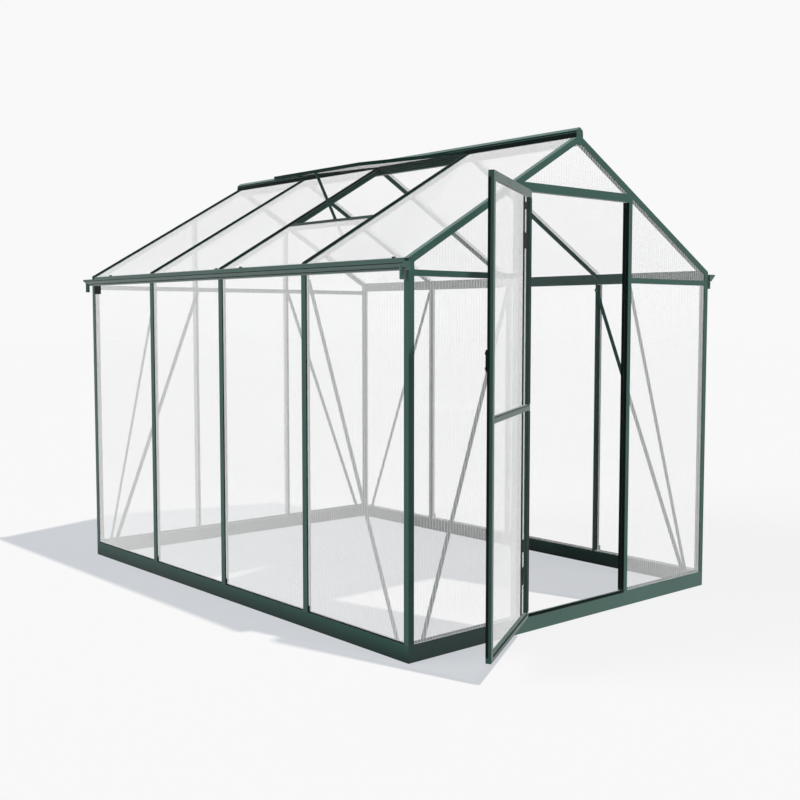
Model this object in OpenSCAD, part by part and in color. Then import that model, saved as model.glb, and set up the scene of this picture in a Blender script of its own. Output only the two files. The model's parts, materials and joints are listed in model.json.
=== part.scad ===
// Polycarbonate greenhouse with a hinged door and a roof vent.
// Millimetres, +Z up. The front gable with the door faces -Y.
// The origin is on the ground, under the middle of the doorway and of the front base rail.

/* [House] */
// Width over the gable, outside the corner posts
house_w = 1820; // [1500:10:2300]
// Length over the side walls, outside the corner posts
house_l = 2480; // [2000:10:3600]
// Height of the roof line at the side walls
eave_h = 1449; // [1250:5:1700]
// Pitch of the roof in degrees
roof_pitch = 29.75; // [22:0.25:36]
// Number of bays along a side wall
bays = 4; // [3:1:6]

/* [Base] */
// Height of the base rails
base_h = 65; // [45:1:110]
// Wall thickness of the base rails
base_t = 2; // [1.5:0.5:4]

/* [Profiles] */
// Depth of the frame, from the outside of the walls to the inside
frame_d = 26; // [20:1:40]
// Width of the corner posts
corner_w = 26; // [18:1:40]
// Wall thickness of the corner posts, jambs and gable rafters
tube_t = 2; // [1.2:0.2:3]
// Width of the outer flange of a glazing bar
flange_w = 29; // [20:1:44]
// Thickness of the outer flange of a glazing bar
flange_t = 2.5; // [1.5:0.5:4]
// Thickness of the web of a glazing bar
web_t = 3; // [2:0.5:5]
// Width of the bead on the inner edge of a glazing bar
bead_w = 8; // [5:1:14]
// Thickness of that bead
bead_t = 4; // [2:0.5:6]
// Height of the rails across the gables
rail_h = 22; // [14:1:36]
// How far those rails stand up past the tops of the side walls
rail_up = 2; // [0:1:10]
// Face width of the gable rafters
rafter_w = 25; // [16:1:36]

/* [Glazing] */
// Thickness of the twin-wall sheets
sheet_t = 4; // [3:0.5:8]
// Clearance between a sheet and the metal at its edges
sheet_gap = 0.5; // [0.2:0.1:2]

/* [Gutter] */
// Reach of the gutter out from the side wall
gutter_w = 40; // [25:1:70]
// Height of the gutter
gutter_h = 43; // [30:1:70]
// Wall thickness of the gutter
gutter_t = 2; // [1.5:0.5:4]
// How far the gutter runs past the front gable
gutter_front = 10; // [2:1:30]
// How far the gutter runs past the rear gable
gutter_rear = 22; // [2:1:40]
// Width of the flat part of the gutter's floor
gutter_floor = 12; // [8:1:20]
// Height of the upright lip along the outer edge
gutter_lip = 6; // [3:1:12]
// How much lower the outer edge is than the roof line
gutter_fall = 12; // [4:1:18]
// Outer diameter of a gutter outlet
outlet_d = 20; // [14:1:32]
// Length of an outlet below the gutter's floor
outlet_len = 33; // [20:1:90]
// Distance of each outlet's middle behind the outside of its gable
outlet_in = 12; // [1:1:12]

// Thickness of the eave beam's upstand, beside the roof sheets' lower edges
upstand = 3; // [2:0.5:6]

/* [Ridge] */
// Width of the ridge beam
ridge_w = 38; // [28:1:60]
// Height of its top above the roof planes where they meet
ridge_rise = 30; // [20:1:50]
// How much lower the shoulders of the ridge are than its top
ridge_fall = 13; // [4:1:18]
// Width of the web between the roof bars
web_w = 20; // [12:1:26]
// Depth of that web below the ridge line
web_drop = 42; // [34:1:60]

/* [Doorway] */
// Distance from the middle of the doorway to the outer edge of a jamb
jamb_out = 347; // [300:1:400]
// Face width of a jamb
jamb_w = 22; // [16:1:34]
// Depth of a jamb
jamb_d = 32; // [24:1:44]
// Height of the door head
head_h = 34; // [20:1:50]
// How far the ends of the door head reach up beside the rafters
head_tuck = 3.5; // [0:0.5:8]

/* [Door] */
// Thickness of the door leaf
leaf_t = 20; // [14:1:30]
// Face width of the stiles
stile_w = 25; // [18:1:40]
// Height of the top rail of the door
door_top_h = 27; // [18:1:50]
// Height of the middle rail of the door
door_mid_h = 22; // [14:1:50]
// Height of the bottom rail of the door
door_bottom_h = 24; // [16:1:60]
// Height of the middle of the middle rail above the ground
door_mid_z = 898; // [700:1:1000]
// Gap under the door leaf, above the base rail
door_low_gap = 14; // [8:1:40]
// Gap between the door leaf and the door head
door_high_gap = 5; // [5:1:20]
// Gap between the closed leaf and the jamb on each side
door_side_gap = 16; // [8:1:24]
// Angle at which the door stands open
door_open = 149; // [0:0.5:165]
// Distance of the hinge pins in from the outer edge of the jamb
pin_in = 13; // [8:1:16]
// Distance of the hinge pins in front of the jamb
pin_out = 13; // [11:1:18]
// Diameter of the hinge pins
pin_d = 6; // [4:0.5:10]
// Diameter of the hinge knuckles
knuckle_d = 14; // [10:0.5:16]
// Height of a hinge knuckle
knuckle_h = 31; // [18:1:50]
// Thickness of the hinge plates
plate_t = 3; // [2:0.5:4]
// Distance of the upper hinge's middle below the top of the leaf
hinge_high_in = 191; // [100:1:400]
// Distance of the lower hinge's middle above the bottom of the leaf
hinge_low_in = 173; // [100:1:400]

// Height of the catch's middle above the door's middle rail
latch_up = 198; // [60:1:400]
// Width of the catch's body
latch_w = 19; // [12:1:25]
// Height of the catch's body
latch_h = 73; // [50:1:120]
// Thickness of the catch's body
latch_t = 6.5; // [3:0.5:10]
// Diameter of the two knobs on the catch
knob_d = 8; // [5:1:12]
// Height of the knobs
knob_t = 4; // [2:0.5:8]
// Distance between the two knobs
knob_gap = 50; // [20:1:60]

/* [Roof vent] */
// Bay of the vent, counted from the front
vent_bay = 2; // [1:1:3]
// Length of the vent down the slope
vent_len = 610; // [400:5:700]
// Angle at which the vent stands open
vent_open = 20; // [0:1:40]
// Distance of the vent's sides in from the middles of the bars beside it
vent_side = 3; // [2:1:10]
// Width of the vent's frame bars
vent_bar_w = 20; // [14:1:30]
// Thickness of the vent's frame bars
vent_bar_t = 14; // [8:1:20]
// Width of the sill bar under the vent
sill_w = 26; // [18:1:40]
// Width of the stay that holds the vent open
stay_w = 14; // [8:1:20]
// Thickness of the stay
stay_t = 3; // [2:0.5:6]
// Length of the stay below its upper pin
stay_len = 315; // [250:5:380]
// Distance of the stay's upper pin below the vent
stay_drop = 11; // [10:1:16]
// Diameter of the stay's pins
peg_d = 6; // [4:0.5:8]
// Distance of the stay's lower pin from the sill bar
peg_side = 12; // [11:1:20]

/* [Braces] */
// Width of the flat braces
brace_w = 20; // [12:1:30]
// Thickness of the flat braces
brace_t = 2; // [1.5:0.5:4]
// Distance from a corner to the foot of its braces
brace_foot = 84; // [60:1:140]
// Distance of the foot's middle below the top of the base rail
brace_sink = 26; // [10:1:40]

/* [Hidden] */
green = "#2f4f46";
haze = [0.90, 0.92, 0.93, 0.55];

half_w = house_w / 2;
front_y = -frame_d / 2;
rear_y = front_y + house_l;
mid_y = (front_y + rear_y) / 2;
rise = tan(roof_pitch);
slant = cos(roof_pitch);
ridge_z = eave_h + half_w * rise;
wall_top = eave_h - gutter_h;
bay_pitch = (house_l - frame_d) / bays;
seat_d = flange_t + sheet_t + 2 * sheet_gap;
rail_low = wall_top - rail_h + rail_up;
jamb_in = jamb_out - jamb_w;
head_z = roof_z(half_w - jamb_in, rafter_w) + head_tuck - head_h;
far = house_w + house_l;

// Middle of glazing bar i along a side wall, counted from the front gable's frame
function bar_y(i) = i * bay_pitch;
// Start and end of the clear space of bay i between its bars or gable frames
function bay_from(i) = i == 0 ? front_y + frame_d : bar_y(i) + web_t / 2;
function bay_to(i) = i == bays - 1 ? rear_y - frame_d : bar_y(i + 1) - web_t / 2;
// Height of a plane parallel to the roof and d below it, at a distance in from the side wall
function roof_z(inset, d = 0) = eave_h + inset * rise - d / slant;

// ---------- Shared shapes ----------

// Copies a left-hand piece to the right-hand side
module to_right() {
    mirror([1, 0, 0]) children();
}

// Copies a front piece to the rear
module to_rear() {
    translate([0, 2 * mid_y, 0]) mirror([0, 1, 0]) children();
}

// Strip of the left roof between two insets and two depths, w wide along the house
module roof_strip(x0, x1, d0, d1, y0, w) {
    translate([-half_w, y0 + w, 0])
        rotate([90, 0, 0])
            linear_extrude(w)
                polygon([
                    [x0, roof_z(x0, d0)], [x1, roof_z(x1, d0)],
                    [x1, roof_z(x1, d1)], [x0, roof_z(x0, d1)]
                ]);
}

// Everything inside the gable outline, d below the roof planes
module under_roof(d) {
    translate([0, far, 0])
        rotate([90, 0, 0])
            linear_extrude(2 * far)
                polygon([
                    [-half_w, 0], [half_w, 0], [half_w, eave_h - d / slant],
                    [0, ridge_z - d / slant], [-half_w, eave_h - d / slant]
                ]);
}

// Plan outline of a glazing bar: outer flange, web and inner bead, outside at y = 0
module bar_outline() {
    translate([-flange_w / 2, 0]) square([flange_w, flange_t]);
    translate([-web_t / 2, 0]) square([web_t, frame_d]);
    translate([-bead_w / 2, frame_d - bead_t]) square([bead_w, bead_t]);
}

// Plan outline of a rectangular tube with one corner at the origin
module tube_outline(w, d, t) {
    difference() {
        square([w, d]);
        translate([t, t]) square([w - 2 * t, d - 2 * t]);
    }
}

// Flat bar between two points in a vertical plane, against the plane y = 0
module flat_bar(a, b, w, t) {
    run = b[0] - a[0];
    climb = b[1] - a[1];
    translate([a[0], 0, a[1]])
        rotate([0, -atan2(climb, run), 0])
            translate([0, 0, -w / 2])
                cube([norm([run, climb]), t, w]);
}

// ---------- Base ----------

// Mitred hollow rail along X with its outside at y = 0
module base_rail(len) {
    color(green)
        intersection() {
            rotate([90, 0, 90])
                translate([0, 0, -len / 2])
                    linear_extrude(len) tube_outline(frame_d, base_h, base_t);
            linear_extrude(base_h)
                polygon([
                    [-len / 2, 0], [len / 2, 0],
                    [len / 2 - frame_d, frame_d], [-len / 2 + frame_d, frame_d]
                ]);
        }
}

module base_left() {
    translate([-half_w, mid_y, 0]) rotate([0, 0, -90]) base_rail(house_l);
}

module base_right() {
    to_right() base_left();
}

module base_front() {
    translate([0, front_y, 0]) base_rail(house_w);
}

module base_rear() {
    to_rear() base_front();
}

// ---------- Uprights ----------

// Hollow corner post, cut to the slope under the rafter
module corner_front_left() {
    color(green)
        intersection() {
            translate([-half_w, front_y, base_h])
                linear_extrude(eave_h) tube_outline(corner_w, frame_d, tube_t);
            under_roof(rafter_w);
        }
}

module corner_front_right() {
    to_right() corner_front_left();
}

module corner_rear_left() {
    to_rear() corner_front_left();
}

module corner_rear_right() {
    to_rear() corner_front_right();
}

module posts_left() {
    color(green)
        for (i = [1 : bays - 1])
            translate([-half_w, bar_y(i), base_h])
                rotate([0, 0, -90])
                    linear_extrude(wall_top - base_h) bar_outline();
}

module posts_right() {
    to_right() posts_left();
}

stud_x = house_w / 6;

module rear_studs() {
    color(green)
        intersection() {
            for (x = [-stud_x, stud_x])
                translate([x, rear_y, base_h])
                    rotate([0, 0, 180])
                        linear_extrude(ridge_z) bar_outline();
            under_roof(rafter_w);
        }
}

// Door jamb up to the underside of the rafter
module jamb_left() {
    color(green) {
        intersection() {
            translate([-jamb_out, front_y, base_h])
                linear_extrude(ridge_z) tube_outline(jamb_w, jamb_d, tube_t);
            under_roof(rafter_w);
        }
        for (z = hinge_zs)
            jamb_hinge(z);
    }
}

module jamb_right() {
    color(green)
        intersection() {
            translate([jamb_in, front_y, base_h])
                linear_extrude(ridge_z) tube_outline(jamb_w, jamb_d, tube_t);
            under_roof(rafter_w);
        }
}

// ---------- Eaves and gutters ----------

// Eave beam with the upstand for the roof sheets
module eave_beam() {
    translate([-half_w, rear_y - frame_d, 0])
        rotate([90, 0, 0])
            linear_extrude(house_l - 2 * frame_d)
                polygon([
                    [0, wall_top], [frame_d, wall_top],
                    [frame_d, roof_z(frame_d, seat_d)], [upstand, roof_z(upstand, seat_d)],
                    [upstand, roof_z(upstand)], [0, eave_h]
                ]);
}

// Gutter section, t inside its outline on every side
module gutter_run(t) {
    y0 = front_y - gutter_front + t;
    edge = gutter_h - gutter_fall;
    translate([-half_w, y0, wall_top])
        rotate([90, 0, 180])
            linear_extrude(rear_y + gutter_rear - t - y0)
                polygon([
                    [t, t], [gutter_floor - t / 2, t], [gutter_w - t, edge - gutter_lip + t / 2],
                    [gutter_w - t, edge + t], [t, edge + t]
                ]);
}

module gutter_left() {
    color(green) {
        eave_beam();
        difference() {
            union() {
                gutter_run(0);
                outlets(outlet_d, wall_top - outlet_len);
            }
            gutter_run(gutter_t);
            outlets(outlet_d - 2 * gutter_t, 0);
        }
    }
}

// A round bar at each gutter outlet, from a height up into the gutter
module outlets(d, z0) {
    for (y = [front_y, rear_y])
        translate([-half_w - gutter_w / 2, y + outlet_in, z0])
            cylinder(h = wall_top + gutter_h / 2 - z0, d = d, $fn = 48);
}

module gutter_right() {
    to_right() gutter_left();
}

// ---------- Gable rails ----------

module rail(x0, x1) {
    translate([x0, front_y, rail_low])
        cube([x1 - x0, frame_d, rail_h]);
}

module rails_front() {
    color(green) {
        rail(-half_w + corner_w, -jamb_out);
        rail(jamb_out, half_w - corner_w);
    }
}

module rails_rear() {
    clear = flange_w / 2;
    color(green)
        to_rear() {
            rail(-half_w + corner_w, -stud_x - clear);
            rail(-stud_x + clear, stud_x - clear);
            rail(stud_x + clear, half_w - corner_w);
        }
}

module door_head() {
    color(green)
        intersection() {
            translate([-jamb_in, front_y, head_z]) cube([2 * jamb_in, frame_d, head_h]);
            under_roof(rafter_w);
        }
}

// ---------- Roof frame ----------

rafter_end = half_w - web_w / 2;

module rafter_front_left() {
    color(green)
        difference() {
            roof_strip(0, rafter_end, 0, rafter_w, front_y, frame_d);
            roof_strip(
                -1, rafter_end + 1, tube_t, rafter_w - tube_t,
                front_y + tube_t, frame_d - 2 * tube_t
            );
        }
}

module rafter_front_right() {
    to_right() rafter_front_left();
}

module rafter_rear_left() {
    to_rear() rafter_front_left();
}

module rafter_rear_right() {
    to_rear() rafter_front_right();
}

module roof_bar(y) {
    roof_strip(upstand, rafter_end, 0, flange_t, y - flange_w / 2, flange_w);
    roof_strip(frame_d, rafter_end, 0, frame_d, y - web_t / 2, web_t);
    roof_strip(frame_d, rafter_end, frame_d - bead_t, frame_d, y - bead_w / 2, bead_w);
}

module roof_bars_left() {
    color(green)
        for (i = [1 : bays - 1])
            roof_bar(bar_y(i));
}

module roof_bars_right() {
    to_right() roof_bars_left();
}

// Ridge: a cap over the ends of the bars and a web between them
module ridge_beam() {
    color(green)
        translate([0, rear_y, ridge_z])
            rotate([90, 0, 0])
                linear_extrude(house_l)
                    polygon([
                        [0, ridge_rise], [ridge_w / 2, ridge_rise - ridge_fall],
                        [ridge_w / 2, -ridge_w / 2 * rise], [web_w / 2, -web_w / 2 * rise],
                        [web_w / 2, -web_drop], [-web_w / 2, -web_drop],
                        [-web_w / 2, -web_w / 2 * rise], [-ridge_w / 2, -ridge_w / 2 * rise],
                        [-ridge_w / 2, ridge_rise - ridge_fall]
                    ]);
}

// ---------- Twin-wall sheets ----------

sheet_in = flange_t + sheet_gap;
sheet_low = base_h + sheet_gap;

module sheets_left() {
    color(haze)
        for (i = [0 : bays - 1])
            translate([-half_w + sheet_in, bay_from(i) + sheet_gap, sheet_low])
                cube([
                    sheet_t, bay_to(i) - bay_from(i) - 2 * sheet_gap,
                    wall_top - sheet_gap - sheet_low
                ]);
}

module sheets_right() {
    to_right() sheets_left();
}

// Gable sheet between two x values and two heights, trimmed under the rafters
module gable_sheet(x0, x1, z0, z1) {
    translate([x0 + sheet_gap, front_y + sheet_in, z0])
        cube([x1 - x0 - 2 * sheet_gap, sheet_t, z1 - z0]);
}

module sheets_front() {
    color(haze)
        intersection() {
            union() {
                gable_sheet(-half_w + corner_w, -jamb_out, sheet_low, rail_low - sheet_gap);
                gable_sheet(jamb_out, half_w - corner_w, sheet_low, rail_low - sheet_gap);
                gable_sheet(-half_w + corner_w, -jamb_out, rail_low + rail_h + sheet_gap, ridge_z);
                gable_sheet(jamb_out, half_w - corner_w, rail_low + rail_h + sheet_gap, ridge_z);
                gable_sheet(-jamb_in, -web_w / 2, head_z + head_h + sheet_gap, ridge_z);
                gable_sheet(web_w / 2, jamb_in, head_z + head_h + sheet_gap, ridge_z);
                gable_sheet(
                    -web_w / 2 - 1, web_w / 2 + 1,
                    head_z + head_h + sheet_gap, ridge_z - web_drop - sheet_gap
                );
            }
            under_roof(rafter_w + sheet_gap);
        }
}

module sheets_rear() {
    edges = [-half_w + corner_w, -stud_x - web_t / 2, -stud_x + web_t / 2,
        stud_x - web_t / 2, stud_x + web_t / 2, half_w - corner_w];
    color(haze)
        to_rear()
            intersection() {
                difference() {
                    for (i = [0, 2, 4]) {
                        gable_sheet(edges[i], edges[i + 1], sheet_low, rail_low - sheet_gap);
                        gable_sheet(edges[i], edges[i + 1], rail_low + rail_h + sheet_gap, ridge_z);
                    }
                    translate([-web_w / 2 - sheet_gap, front_y, ridge_z - web_drop - sheet_gap])
                        cube([web_w + 2 * sheet_gap, frame_d, far]);
                }
                under_roof(rafter_w + sheet_gap);
            }
}

// Roof sheet of bay i between two insets
module roof_sheet(i, x0, x1) {
    y0 = bay_from(i) + sheet_gap;
    roof_strip(x0, x1, sheet_in, sheet_in + sheet_t, y0, bay_to(i) - sheet_gap - y0);
}

sheet_eave = upstand + sheet_gap;
sheet_ridge = rafter_end - sheet_gap;

module roof_sheets_left() {
    color(haze)
        for (i = [0 : bays - 1])
            roof_sheet(i, sheet_eave, i == vent_bay - 1 ? sill_in - sheet_gap : sheet_ridge);
}

module roof_sheets_right() {
    color(haze)
        to_right()
            for (i = [0 : bays - 1])
                roof_sheet(i, sheet_eave, sheet_ridge);
}

// ---------- Braces ----------

brace_low = base_h - brace_sink;
brace_high = wall_top - brace_w;

// Two braces of a side wall, from the first and last bars down to the corners
module braces_left() {
    color(green)
        translate([-half_w + frame_d, 0, 0])
            rotate([0, 0, -90]) {
                flat_bar(
                    [-bar_y(1), brace_high], [-front_y - brace_foot, brace_low],
                    brace_w, brace_t
                );
                flat_bar(
                    [-bar_y(bays - 1), brace_high], [-rear_y + brace_foot, brace_low],
                    brace_w, brace_t
                );
            }
}

module braces_right() {
    to_right() braces_left();
}

module braces_front() {
    top_x = -jamb_out - brace_w;
    color(green) {
        front_brace(top_x);
        to_right() front_brace(top_x);
    }
}

module front_brace(top_x) {
    translate([0, front_y + frame_d, 0])
        flat_bar([-half_w + brace_foot, brace_low], [top_x, brace_high], brace_w, brace_t);
}

module braces_rear() {
    color(green)
        to_rear() {
            front_brace(-stud_x);
            to_right() front_brace(-stud_x);
        }
}

// ---------- Roof vent ----------

vent_hinge_d = 8;
vent_hinge_in = half_w - ridge_w / 2 - vent_hinge_d / 2 - sheet_gap;
vent_hinge_z = roof_z(vent_hinge_in) + (vent_bar_t + 1) / slant;
vent_tilt = roof_pitch - vent_open;
vent_w = bay_pitch - 2 * vent_side;
vent_mid = (bar_y(vent_bay - 1) + bar_y(vent_bay)) / 2;
vent_start = vent_hinge_d;
sill_out = half_w - ridge_w / 2 - vent_len * slant + sill_w;
sill_in = sill_out - sill_w;

// Children in the vent's own frame: +X down the slope from the hinge, +Z outward
module on_vent() {
    translate([-half_w + vent_hinge_in, vent_mid, vent_hinge_z])
        mirror([1, 0, 0])
            rotate([0, vent_tilt, 0])
                children();
}

module vent_frame() {
    inner = vent_len - vent_start - 2 * vent_bar_w;
    color(green)
        on_vent() {
            difference() {
                translate([vent_start, -vent_w / 2, -vent_bar_t])
                    cube([vent_len - vent_start, vent_w, vent_bar_t]);
                translate([vent_start + vent_bar_w, -vent_w / 2 + vent_bar_w, -vent_bar_t - 1])
                    cube([inner, vent_w - 2 * vent_bar_w, vent_bar_t + 2]);
            }
            translate([0, vent_w / 2, 0])
                rotate([90, 0, 0])
                    cylinder(h = vent_w, d = vent_hinge_d, $fn = 32);
            translate([0, -vent_w / 2, -vent_hinge_d / 2])
                cube([vent_start, vent_w, vent_hinge_d / 2]);
            translate([rail_s - stay_w / 2, stay_t / 2 + peg_gap, -pin_drop - stay_w / 2])
                cube([stay_w, lug_t, stay_drop + stay_w / 2]);
        }
    color(green)
        peg(-half_w + stay_in, stay_z);
}

module vent_sheet() {
    inner = vent_len - vent_start - 2 * vent_bar_w;
    color(haze)
        on_vent()
            translate([
                vent_start + vent_bar_w + sheet_gap, -vent_w / 2 + vent_bar_w + sheet_gap,
                -vent_bar_t / 2 - sheet_t / 2
            ])
                cube([inner - 2 * sheet_gap, vent_w - 2 * vent_bar_w - 2 * sheet_gap, sheet_t]);
}

// Bar across the opening that the closed vent lies on, with a peg for the stay
module vent_sill() {
    y0 = bay_from(vent_bay - 1);
    color(green) {
        roof_strip(
            sill_in, sill_out, flange_t, frame_d - bead_t - sheet_gap,
            y0, bay_to(vent_bay - 1) - y0
        );
        translate([-half_w + sill_out - 1, vent_mid + stay_t / 2 + peg_gap, peg_z - stay_w / 2])
            cube([peg_side + stay_w / 2 + 1, lug_t, stay_w]);
        peg(-half_w + peg_in, peg_z);
    }
}

// Pin through the stay, from the lug beside it
module peg(x, z) {
    translate([x, vent_mid + stay_t / 2 + peg_gap + lug_t / 2, z])
        rotate([90, 0, 0])
            cylinder(h = stay_t + 2 * peg_gap + lug_t / 2, d = peg_d, $fn = 32);
}

lug_t = 3;
peg_gap = 1;
peg_in = sill_out + peg_side;
peg_z = roof_z(peg_in, frame_d / 2);

// Upper pin of the stay, under the middle of the vent's free rail
rail_s = vent_len - vent_bar_w / 2;
pin_drop = vent_bar_t + stay_drop;
stay_in = vent_hinge_in - rail_s * cos(vent_tilt) + pin_drop * sin(vent_tilt);
stay_z = vent_hinge_z - rail_s * sin(vent_tilt) - pin_drop * cos(vent_tilt);
stay_angle = atan2(stay_z - peg_z, peg_in - stay_in);
peg_run = norm([stay_z - peg_z, peg_in - stay_in]);

module vent_stay() {
    color(green)
        translate([-half_w + stay_in, vent_mid, stay_z])
            rotate([0, stay_angle, 0])
                difference() {
                    translate([-stay_w / 2, -stay_t / 2, -stay_w / 2])
                        cube([stay_len + stay_w / 2, stay_t, stay_w]);
                    for (x = [0, peg_run])
                        translate([x, stay_t, 0])
                            rotate([90, 0, 0])
                                cylinder(h = 2 * stay_t, d = peg_d + pin_fit, $fn = 32);
                }
}

// ---------- Door ----------

pin_x = pin_in - jamb_out;
pin_y = front_y - pin_out;
leaf_start = jamb_w - pin_in + door_side_gap;
leaf_end = leaf_start + 2 * (jamb_in - door_side_gap);
leaf_low = base_h + door_low_gap;
leaf_high = head_z - door_high_gap;
hinge_zs = [leaf_low + hinge_low_in, leaf_high - hinge_high_in];
knuckle_gap = 0.5;
pin_fit = 0.1;

// Children in the closed door's frame: hinge pin at the origin, +Y into the house
module on_door() {
    translate([pin_x, pin_y, 0])
        rotate([0, 0, -door_open])
            children();
}

// Fixed half of a hinge: plate on the jamb, arm and lower knuckle with its pin
module jamb_hinge(z) {
    arm_t = knuckle_d - 4;
    low = z - knuckle_h;
    knuckle = knuckle_h - knuckle_gap;
    translate([-jamb_out, front_y - plate_t, low])
        cube([jamb_w, plate_t, 2 * knuckle_h]);
    translate([pin_x - arm_t / 2, pin_y, low])
        cube([arm_t, pin_out, knuckle]);
    translate([pin_x, pin_y, low])
        cylinder(h = knuckle, d = knuckle_d, $fn = 48);
    translate([pin_x, pin_y, low])
        cylinder(h = 2 * knuckle_h + 2, d = pin_d, $fn = 48);
}

// Moving half of a hinge: knuckle round the pin, arm and block on the leaf
module leaf_hinge(z) {
    low = z + knuckle_gap;
    knuckle = knuckle_h - knuckle_gap;
    difference() {
        union() {
            translate([0, 0, low])
                cylinder(h = knuckle, d = knuckle_d, $fn = 48);
            translate([0, -plate_t, low])
                cube([leaf_start + stile_w, 2 * plate_t, knuckle]);
            translate([leaf_start, 0, low])
                cube([stile_w, pin_out, knuckle]);
        }
        translate([0, 0, low - 1])
            cylinder(h = knuckle + 2, d = pin_d + pin_fit, $fn = 48);
    }
}

module door_frame() {
    inner_x = leaf_start + stile_w;
    inner_w = leaf_end - leaf_start - 2 * stile_w;
    color(green)
        on_door() {
            difference() {
                translate([leaf_start, pin_out, leaf_low])
                    cube([leaf_end - leaf_start, leaf_t, leaf_high - leaf_low]);
                translate([inner_x, pin_out - 1, leaf_low + door_bottom_h])
                    cube([
                        inner_w, leaf_t + 2,
                        door_mid_z - door_mid_h / 2 - leaf_low - door_bottom_h
                    ]);
                translate([inner_x, pin_out - 1, door_mid_z + door_mid_h / 2])
                    cube([
                        inner_w, leaf_t + 2,
                        leaf_high - door_top_h - door_mid_z - door_mid_h / 2
                    ]);
            }
            for (z = hinge_zs)
                leaf_hinge(z);
        }
}

module door_sheets() {
    inner_x = leaf_start + stile_w + sheet_gap;
    inner_w = leaf_end - leaf_start - 2 * stile_w - 2 * sheet_gap;
    low = [leaf_low + door_bottom_h, door_mid_z + door_mid_h / 2];
    high = [door_mid_z - door_mid_h / 2, leaf_high - door_top_h];
    color(haze)
        on_door()
            for (i = [0, 1])
                translate([inner_x, pin_out + 1, low[i] + sheet_gap])
                    cube([inner_w, sheet_t, high[i] - low[i] - 2 * sheet_gap]);
}

// Catch on the outside of the free stile, with two knobs
module door_latch() {
    color("#1c2b28")
        on_door()
            translate([leaf_end - stile_w / 2, pin_out, door_mid_z + latch_up]) {
                translate([-latch_w / 2, -latch_t, -latch_h / 2])
                    cube([latch_w, latch_t, latch_h]);
                for (side = [-1, 1])
                    translate([0, -latch_t / 2, side * knob_gap / 2])
                        rotate([90, 0, 0])
                            cylinder(h = latch_t / 2 + knob_t, d = knob_d, $fn = 32);
            }
}

base_left();
base_right();
base_front();
base_rear();
corner_front_left();
corner_front_right();
corner_rear_left();
corner_rear_right();
posts_left();
posts_right();
rear_studs();
jamb_left();
jamb_right();
gutter_left();
gutter_right();
rails_front();
rails_rear();
door_head();
rafter_front_left();
rafter_front_right();
rafter_rear_left();
rafter_rear_right();
roof_bars_left();
roof_bars_right();
ridge_beam();
sheets_left();
sheets_right();
sheets_rear();
sheets_front();
roof_sheets_left();
roof_sheets_right();
braces_left();
braces_right();
braces_front();
braces_rear();
vent_sill();
vent_frame();
vent_sheet();
vent_stay();
door_frame();
door_sheets();
door_latch();
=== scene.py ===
import json
import math

import bmesh
import bpy
from mathutils import Matrix, Vector

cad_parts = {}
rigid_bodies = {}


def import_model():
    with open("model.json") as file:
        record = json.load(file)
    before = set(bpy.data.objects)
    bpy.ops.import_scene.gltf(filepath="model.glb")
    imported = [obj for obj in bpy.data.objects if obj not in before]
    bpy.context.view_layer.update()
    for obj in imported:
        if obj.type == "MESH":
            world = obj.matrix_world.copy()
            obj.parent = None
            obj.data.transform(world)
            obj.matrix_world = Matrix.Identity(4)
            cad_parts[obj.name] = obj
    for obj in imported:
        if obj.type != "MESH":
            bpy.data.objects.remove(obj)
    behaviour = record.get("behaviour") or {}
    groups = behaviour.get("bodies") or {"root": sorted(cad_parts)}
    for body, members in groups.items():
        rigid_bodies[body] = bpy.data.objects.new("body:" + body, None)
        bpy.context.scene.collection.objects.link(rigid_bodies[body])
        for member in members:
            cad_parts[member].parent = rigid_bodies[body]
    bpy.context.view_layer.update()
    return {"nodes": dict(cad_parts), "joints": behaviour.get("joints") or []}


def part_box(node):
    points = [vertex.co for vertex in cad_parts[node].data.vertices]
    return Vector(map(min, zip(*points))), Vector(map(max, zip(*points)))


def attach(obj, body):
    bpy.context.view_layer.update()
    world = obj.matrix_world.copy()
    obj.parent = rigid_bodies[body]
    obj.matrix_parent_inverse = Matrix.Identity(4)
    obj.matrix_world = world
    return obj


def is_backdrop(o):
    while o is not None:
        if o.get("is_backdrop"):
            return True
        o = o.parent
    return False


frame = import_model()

MM = 0.001
JOIN_DIST = 0.01 * MM       # corners of the CAD meshes closer than this are one corner
CUT_DIST = 0.0001 * MM      # tolerance of the cuts through the sheets

# ---------- Sizes of the added details, in metres ----------
SINK = 0.1 * MM             # how deep an added strip sinks into what carries it
END_GAP = 1 * MM            # how far strips stop short of a neighbour or of an end
EDGE_ROUND = 0.6 * MM       # softened edges of added blocks, of thin ones and of grooves
THIN_ROUND = 0.3 * MM
GROOVE_ROUND = 0.2 * MM
ROUND_SHARE = 0.3           # the most that is rounded off, as a share of the thinnest side

FLUTE_PITCH = 14.6 * MM     # distance between the ribs inside the twin-wall sheets
FLUTE_T = 0.5 * MM          # thickness of one of those ribs
FLUTE_SHRINK = 0.15 * MM    # how far a rib stays inside the faces of its sheet

CAP_W = 24 * MM             # rubber strip over a roof bar
CAP_H = 6.5 * MM
CAP_STOP = 12 * MM          # how far it stops short of the upper end of the roof line
CAP_SHAPE = (               # its outline, as shares of its width and height
    (-0.5, 0), (-0.46, 0.55), (-0.3, 0.9), (0, 1), (0.3, 0.9), (0.46, 0.55), (0.5, 0))

BOLT_D = 9 * MM             # domed bolt heads on the braces
BOLT_H = 3.6 * MM
BOLT_IN = 12 * MM           # their distance from the ends of a brace
SCREW_D = 7 * MM            # pan-head screws in the door leaf
SCREW_H = 2 * MM
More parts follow.
